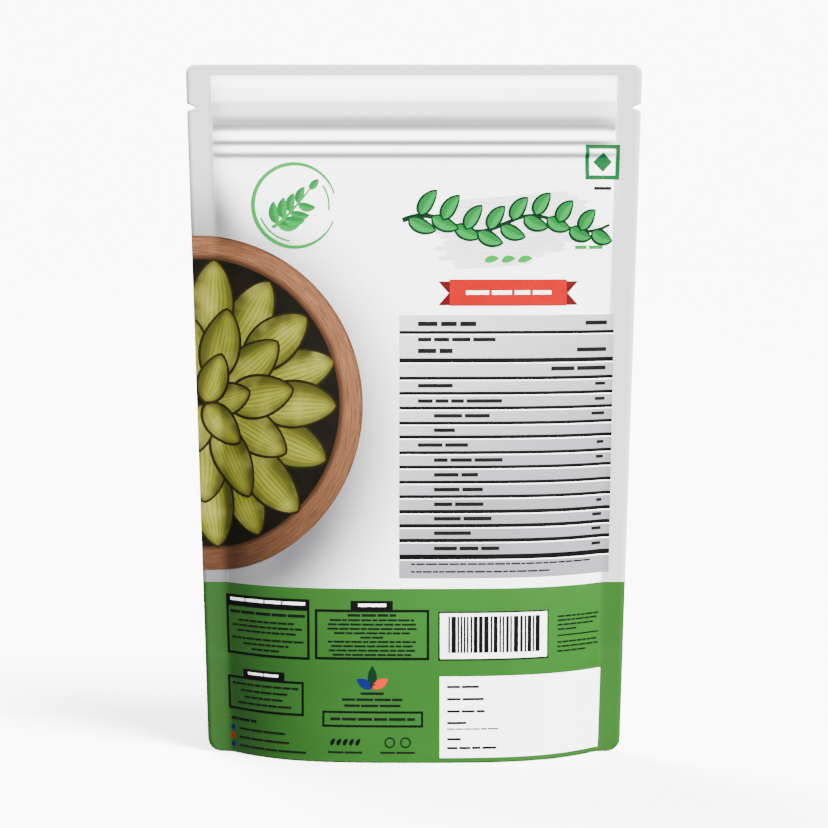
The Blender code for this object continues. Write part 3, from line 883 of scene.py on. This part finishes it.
# The table's black rules: (height, width), and how far below a rule its light line starts and ends
LIGHT_HEAD, LIGHT_FOOT = 0.02, 0.42
RULES = [
    (140.4, 0.80), (131.3, 1.20), (125.5, 0.85), (120.6, 0.80), (115.8, 0.80), (110.9, 0.80), (106.4, 0.85),
    (101.3, 0.80), (96.6, 0.80), (91.7, 0.80), (87.0, 0.80), (82.1, 0.95), (77.5, 0.95), (72.7, 0.95),
    (67.35, 1.40),
]
# The table's rows: (height, left end, its words' width and height, right words' width and height)
LABEL, INDENT, VALUE = 1.3, 6.6, 66.0
ROWS = [
    (143.2, LABEL, 19.5, 2.0, 8.0, 1.8), (138.1, LABEL, 26.0, 1.6, 0, 0),
    (134.4, LABEL, 11.6, 2.0, 11.0, 1.8), (128.3, LABEL, 0, 0, 20.0, 1.8),
    (123.1, LABEL, 11.6, 1.6, 4.0, 1.35), (118.1, LABEL, 28.0, 1.6, 4.0, 1.35),
    (113.3, INDENT, 18.6, 1.6, 5.2, 1.35), (108.6, INDENT, 7.0, 1.6, 0, 0),
    (103.8, LABEL, 16.6, 1.6, 2.8, 1.35), (98.9, INDENT, 22.8, 1.6, 3.0, 1.35),
    (94.1, INDENT, 14.6, 1.6, 0, 0), (89.3, INDENT, 16.2, 1.6, 0, 0), (84.5, INDENT, 16.4, 1.6, 2.4, 1.35),
    (79.8, INDENT, 19.0, 1.6, 4.0, 1.35), (75.1, INDENT, 12.2, 1.6, 4.2, 1.35),
    (70.1, INDENT, 21.6, 1.6, 4.0, 1.35),
]


def front_table(make, draw):
    """Grey ground, black rules with a light line under each, and bars for words."""
    dull = make["dull"]
    left, right, foot, head = -4.9, 68.4, 60.4, 146.1

    def right_at(t):
        return right + (head - t) / (head - foot)

    across, upward = np.meshgrid(np.linspace(0, 1, 62), np.linspace(foot, head, 52))
    make["grey"].patch(left + across * (right_at(upward) - left), upward, 0)
    for t, width in RULES:
        width += LINE_GAIN
        make["black"].box(left, t - width / 2, right_at(t), t + width / 2, 1)
        make["white"].box(left, t - width / 2 - LIGHT_FOOT, right_at(t), t - width / 2 - LIGHT_HEAD, 1)
    for t, s, width, height, right_width, right_height in ROWS:
        if width:
            dull.words(s, t, width, height, draw, 1)
        if right_width:
            dull.words(VALUE - right_width, t + 0.2, right_width, right_height, draw, 1, letter=(2.4, 4.6))
    dull.words(-1.0, 65.0, 62.5, 0.62, draw, 1, letter=(2, 6))
    dull.words(-1.0, 62.5, 46.5, 0.62, draw, 1, letter=(2, 6))


def front_boxes(make, draw):
    """Three headed boxes of bars on the green foot, and lines with a dot before each."""
    black, white, dull = make["black"], make["white"], make["dull"]
    black.frame(-67.4, 33.4, -34.7, 50.2, 0.6, 1)
    black.box(-67.4, 50.2, -34.7, 53.2, 1)
    white.words(-65.6, 51.7, 29.4, 1.15, draw, 3, letter=(4, 8))
    dull.words(-51.0, 47.6, 29.6, 1.05, draw, 1, True)
    for t, width in ((44.9, 22.0), (43.2, 27.5), (41.5, 23.0), (39.0, 28.5), (37.3, 18.0), (35.6, 11.0)):
        dull.words(-51.0, t, width, 0.72, draw, 1, True, (2, 6))
    black.frame(-32.8, 33.7, 5.0, 50.1, 0.6, 1)
    black.box(-20.9, 50.1, -7.0, 53.0, 1)
    white.words(-18.4, 51.6, 9.2, 1.15, draw, 3, letter=(8, 9))
    dull.words(-13.9, 48.3, 16.0, 0.9, draw, 1, True)
    for k, width in enumerate((28.0, 29.0, 29.5, 25.0, 7.5, 29.0, 27.0, 28.5, 26.0)):
        dull.words(-13.9, 46.7 - 1.42 * k, width, 0.68, draw, 1, True, (2, 6))
    black.frame(-67.6, 14.8, -36.8, 26.0, 0.55, 1)
    black.box(-60.4, 26.0, -43.7, 28.7, 1)
    white.words(-58.2, 27.35, 12.2, 0.95, draw, 3, letter=(5, 8))
    for t, width in ((23.6, 27.0), (21.5, 19.0), (19.4, 15.5), (17.3, 22.0)):
        dull.words(-52.2, t, width, 0.75, draw, 1, True, (2, 6))
    dull.words(-66.8, 11.6, 11.8, 1.0, draw, 1)
    for dot, t, width in (("blue", 8.5, 19.5), ("red", 5.6, 21.0), ("blue", 2.8, 27.0)):
        dull.words(-63.0, t, width, 0.75, draw, 1, letter=(6, 9))
        make[dot].ring((-66.2, t), 0.05, 0.95, layer=1, cell=0.5)


def front_emblem(make, draw):
    """Three leaves over three lines, a boxed line, and two small marks over a line each."""
    black, dull = make["black"], make["dull"]
    for colour, angle, length in (("blue", 150, 6.0), ("deep_green", 90, 7.4), ("orange", 30, 6.0)):
        make[colour].leaf((-13.8, 24.4), length, 3.0, angle, 0.0, 1)
    for t, width in ((22.7, 7.6), (20.7, 20.0), (18.7, 18.6)):
        dull.words(-13.8, t, width, 0.85, draw, 1, True, (4, 9))
    black.frame(-30.4, 11.7, 3.0, 16.9, 0.5, 1)
    dull.words(-13.7, 14.3, 28.0, 1.0, draw, 1, True)
    leaves, rings = -22.8, -5.4
    for k in range(5):
        black.leaf((leaves - 4.6 + 2.1 * k, 5.6), 2.6, 1.3, 62, 0.2, 1)
    for s in (rings - 2.6, rings + 2.6):
        black.ring((s, 6.7), 1.35, 1.75, layer=1, cell=0.5)
    for s in (leaves, rings):
        dull.words(s, 3.4, 11.4, 0.7, draw, 1, True, (4, 8))


def front_code(make, draw):
    """Random stripes, bars for words beside them, and a white box of bars under them."""
    black, white, dull = make["black"], make["white"], make["dull"]
    white.box(8.1, 33.6, 45.2, 49.5, 1)
    black.frame(8.1, 33.6, 45.2, 49.5, 0.34, 2)
    at = 11.3
    while at < 41.6:
        wide = draw.choice((0.62, 0.62, 0.95, 1.30, 1.55))
        black.box(at, 36.0, min(at + wide, 42.2), 47.9, 3, up_cell=2.0)
        at += wide + draw.choice((0.42, 0.42, 0.60))
    beside = ((47.0, 17.5), (45.7, 16.8), (44.2, 15.0), (42.7, 7.5), (38.5, 17.0), (37.0, 17.6), (35.5, 13.0))
    for t, width in beside:
        dull.words(48.7, t, width, 0.6, draw, 1, letter=(2, 6))
    black.box(48.7, 40.5, 66.4, 40.88, 1)
    white.box(8.5, 1.7, 67.6, 28.3, 1)
    tall, small = 0.95, 0.55
    under = (
        (24.9, 10.6, tall), (20.9, 12.2, tall), (16.9, 12.6, tall), (13.1, 6.4, tall), (11.1, 17.0, small),
        (7.8, 4.6, tall), (4.9, 16.4, tall),
    )
    for t, width, height in under:
        dull.words(10.9, t, width, height, draw, 2, letter=(3, 5))


def printers(prefix, side, inks):
    """One collector for each ink."""
    return {key: Print(prefix + key, side, material) for key, material in inks.items()}


def make_print(make):
    """One piece for each ink that was used."""
    for printer in make.values():
        if printer.count:
            printer.make()


def front_print(inks):
    """The side in the photograph. One draw serves all its parts, so their order stays."""
    make, draw = printers("front_", FRONT, inks), random.Random(11)
    front_picture(make, draw)
    front_badge(make)
    front_mark(make, draw)
    front_vine(make, draw)
    front_table(make, draw)
    front_boxes(make, draw)
    front_emblem(make, draw)
    front_code(make, draw)
    make_print(make)


def back_print(inks):
    """The side that the photograph doesn't show: the same colours in a plain, generic layout."""
    make, draw = printers("back_", BACK, inks), random.Random(23)
    white = make["white"]
    s0, t0, radius = BACK_PICTURE
    make["dark"].ring((s0, t0), 0.5, radius - BACK_RIM + UNDER_RIM, layer=0)
    for bottom in (-90, 270):
        make["wood"].ring((s0, t0), radius - BACK_RIM, radius, bottom, 90, layer=1.5)
    rosette(make, (s0, t0), BACK_RINGS, 0, 359, draw)
    path = np.array([(-48 + 96 * u, 174 + 3.4 * math.sin(u * 14.0)) for u in np.linspace(0, 1, 150)])
    vine(
        make, path, stem=1.9, feet=range(5, 145, 7), lengths=[11.0] * 20, edge=1.2,
        widths=(5.8, 4.6), angles=(14, 52), bend=0.7, inset=0.6,
    )
    ribbon(make, -24, 24, 148.0, 157.0, tail=(-28.5, 28.5), middle=152.4, half=4.0)
    white.words(0, 152.6, 34, 1.9, draw, 3, True, (2.2, 4.6))
    white.words(0, 44.0, 44, 2.6, draw, 1, True, (2.2, 4.6))
    white.words(0, 37.5, 62, 1.5, draw, 1, True, (2.2, 4.6))
    white.box(-30, 8.0, 30, 26.0, 1)
    for t, width in ((21.5, 40.0), (17.0, 46.0), (12.5, 30.0)):
        make["dull"].words(0, t, width, 1.3, draw, 2, True)
    make_print(make)


INKS = {
    "black": ink("ink_black", printed(5, 5, 5)),
    "dull": ink("ink_dull", printed(13, 14, 13)),
    "white": ink("ink_white", linear(250, 250, 249), 0.01),
    "grey": table_ink("ink_grey"),
    "pale": brushed_ink("ink_pale"),
    "green": ink("ink_green", printed(5, 132, 43)),
    "deep_green": ink("ink_deep_green", printed(5, 36, 17)),
    "mark": ink("ink_mark", printed(3, 78, 34)),
    "leaf": leaf_ink("ink_leaf", printed(5, 124, 47), printed(3, 94, 35)),
    "red": ink("ink_red", printed(150, 1, 0)),
    "dark_red": ink("ink_dark_red", printed(78, 8, 10)),
    "blue": ink("ink_blue", printed(14, 20, 84)),
    "orange": ink("ink_orange", printed(186, 30, 8)),
    "wood": wood_ink("ink_wood"),
    "dark": ink("ink_dark", printed(12, 10, 5), 0.2),
    "shade": ink("ink_shade", printed(22, 20, 6), 0.15),
    "pods": pod_ink("ink_pods"),
}

lining = film_lining("film_lining")
film_panel("front_film", FRONT, "front_panel", printed_film("film_front", PICTURE), lining)
film_panel("back_film", BACK, "back_panel", printed_film("film_back", BACK_PICTURE), lining)
base_film("base_fold", "base_gusset", plain_base("film_base"), lining)
front_print(INKS)
back_print(INKS)


# CAD nodes that stay
def zip_material():
    n = Nodes("zip_polyethylene", 0.35)
    n.colour(varied(n, linear(236, 238, 237), 0.02, 200.0))
    n.uneven(n.noise(300.0), 0.30, 0.42)
    return n.material


def pod_material():
    n = Nodes("dried_pods", 0.72)
    patches = n.noise(220.0, 4.0)
    fine = n.noise(900.0, 4.0, stretch=(1.0, 1.0, 0.25))
    tone = n.mix(n.span(patches, 0.3, 0.7), linear(140, 142, 66), linear(182, 184, 104))
    n.colour(n.mix(n.span(fine, 0.5, 0.7, 0.0, 0.5), tone, linear(98, 96, 42)))
    n.uneven(patches, 0.62, 0.82)
    n.bump(fine, 0.0003, 0.6)
    return n.material


plastic = zip_material()
for node, material in (("zip_groove", plastic), ("zip_rib", plastic), ("cardamom_fill", pod_material())):
    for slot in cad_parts[node].material_slots:
        slot.material = material


# Floor, light and camera
FLOOR_REACH = 14.0
AMBIENT, BACKGROUND = 0.65, 10.4
# Lights: name, kind, azimuth, elevation, distance, size (a sun's in degrees, an area's in metres), energy
LIGHTS = [
    ("key", "SUN", 46, 50, 2.2, 26.0, 28.6),
    ("rear", "SUN", 214, 50, 2.3, 26.0, 15.0),
    ("fill", "AREA", -50, 18, 2.4, 1.4, 39.0),
]
CAMERA_BACK, CAMERA_UP, CAMERA_PITCH = 0.922816, 0.182298, 0.075
LENS, SENSOR = 121.43, 36.0


def make_floor(reach):
    """A wide pale floor."""
    data = bpy.data.meshes.new("floor")
    corners = [(-reach, -reach, 0), (reach, -reach, 0), (reach, reach, 0), (-reach, reach, 0)]
    data.from_pydata(corners, [], [(0, 1, 2, 3)])
    n = Nodes("floor_paper", 0.9, 0.2)
    n.colour(varied(n, linear(250, 250, 250), 0.004, 3.0))
    data.materials.append(n.material)
    floor = link("floor", data)
    floor.visible_diffuse = False
    floor.visible_glossy = False


def add_light(name, kind, azimuth, elevation, distance, size, energy):
    """A soft light aimed at the pouch; azimuth 0 is in front, and grows to the viewer's right."""
    turn, up = math.radians(azimuth), math.radians(elevation)
    aim = Vector((0, 0, HEIGHT * MM / 2))
    out = Vector((math.sin(turn) * math.cos(up), -math.cos(turn) * math.cos(up), math.sin(up)))
    light = bpy.data.lights.new(name, kind)
    light.energy = energy
    if kind == "SUN":
        light.angle = math.radians(size)
    else:
        light.shape = "SQUARE"
        light.size = size
    obj = link(name, light)
    obj.visible_glossy = kind == "SUN"
    obj.location = aim + distance * out
    obj.rotation_euler = out.to_track_quat("Z", "Y").to_euler()


def make_world():
    """White all round: bright where it is seen, dimmer as the ambient light."""
    world = bpy.data.worlds.new("studio")
    world.use_nodes = True
    tree = world.node_tree
    seen = tree.nodes.new("ShaderNodeLightPath").outputs["Is Camera Ray"]
    strength = tree.nodes.new("ShaderNodeMapRange")
    strength.inputs["To Min"].default_value = AMBIENT
    strength.inputs["To Max"].default_value = BACKGROUND
    tree.links.new(seen, strength.inputs["Value"])
    tree.nodes["Background"].inputs["Color"].default_value = (1.0, 1.0, 1.0, 1.0)
    tree.links.new(strength.outputs["Result"], tree.nodes["Background"].inputs["Strength"])
    bpy.context.scene.world = world


def make_camera():
    """The view from the front and a little above the middle, tipped down."""
    camera = link("camera", bpy.data.cameras.new("camera"))
    camera.data.lens = LENS
    camera.data.sensor_width = SENSOR
    camera.location = (0, -CAMERA_BACK, CAMERA_UP)
    camera.rotation_euler = (math.pi / 2 - CAMERA_PITCH, 0, 0)
    bpy.context.scene.camera = camera


make_floor(FLOOR_REACH)
make_world()
for light in LIGHTS:
    add_light(*light)
make_camera()
